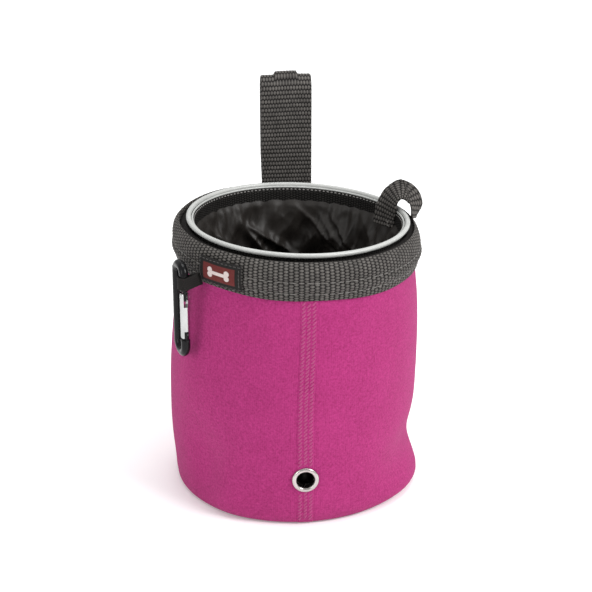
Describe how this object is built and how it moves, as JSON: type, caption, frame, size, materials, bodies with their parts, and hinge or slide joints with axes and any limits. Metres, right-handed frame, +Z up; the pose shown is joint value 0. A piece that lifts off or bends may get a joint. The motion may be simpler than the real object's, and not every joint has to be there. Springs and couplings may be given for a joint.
{
  "type": "treat pouch",
  "caption": "Round neoprene treat pouch with a stiff open rim, webbing collar, belt loop, side pull loop, drain eyelet and a mini carabiner on a ribbon tab.",
  "frame": {"origin": "centre of the flat base, on the surface that the pouch stands on", "axes": "+Z up through the mouth, -Y to the front seam and eyelet, +Y to the belt loop, +X to the pull loop"},
  "size_m": [0.108, 0.1189, 0.1655],
  "materials": {
    "neoprene": "matt knit-faced foam",
    "seam_yarn": "polyester thread",
    "webbing": "coarse woven polypropylene",
    "facing": "woven band",
    "grey_yarn": "polyester thread",
    "black_yarn": "polyester thread",
    "tape": "woven binding",
    "ribbon": "woven ribbon",
    "nylon": "semi-gloss crumpled nylon",
    "piping": "reflective coated cord",
    "label_black": "satin woven",
    "label_red": "satin woven",
    "label_light": "satin woven",
    "steel": "drawn wire",
    "lacquer": "gloss black",
    "bright_metal": "polished",
    "nickel": "nickel plated"
  },
  "bodies": {
    "pouch": {"base_panel": "neoprene", "outer_shell": "neoprene", "base_seam_binding": "tape", "front_seam_stitching": "seam_yarn", "front_seam_stitching_low": "seam_yarn", "collar_webbing": "webbing", "collar_stitching_lower": "grey_yarn", "collar_stitching_upper": "grey_yarn", "rim_hoop": "steel", "rim_piping": "piping", "piping_binding": "tape", "inner_facing": "facing", "inner_facing_stitching": "grey_yarn", "lining_bag": "nylon", "belt_loop_anchor": "webbing", "belt_loop_tack": "grey_yarn", "pull_loop": "webbing", "pull_loop_tack": "grey_yarn", "label_patch": "label_black", "label_field": "label_red", "label_emblem": "label_light", "label_stitching": "black_yarn", "carabiner_tab": "ribbon", "eyelet_front": "nickel", "eyelet_washer": "nickel"},
    "belt_loop": {"belt_loop": "webbing"},
    "carabiner": {"carabiner_body": "lacquer"},
    "gate": {"carabiner_gate": "bright_metal", "gate_rivet": "steel", "gate_nose_pin": "steel", "gate_spring": "steel"}
  },
  "joints": [
    {"name": "belt_loop_fold", "type": "hinge", "parent": "pouch", "child": "belt_loop", "pos_m": [0.0024, 0.05525, 0.117], "axis": [1, 0, 0], "range_deg": [-90, 40]},
    {"name": "carabiner_swing", "type": "hinge", "parent": "pouch", "child": "carabiner", "pos_m": [-0.04762, -0.03397, 0.105], "axis": [0, 0, 1], "range_deg": [0, 140]},
    {"name": "gate_open", "type": "hinge", "parent": "carabiner", "child": "gate", "pos_m": [-0.04762, -0.03397, 0.0985], "axis": [0.9659, 0.2589, 0], "range_deg": [0, 15], "stiffness_Nm_per_rad": 0.02, "springref_deg": -17.19}
  ]
}
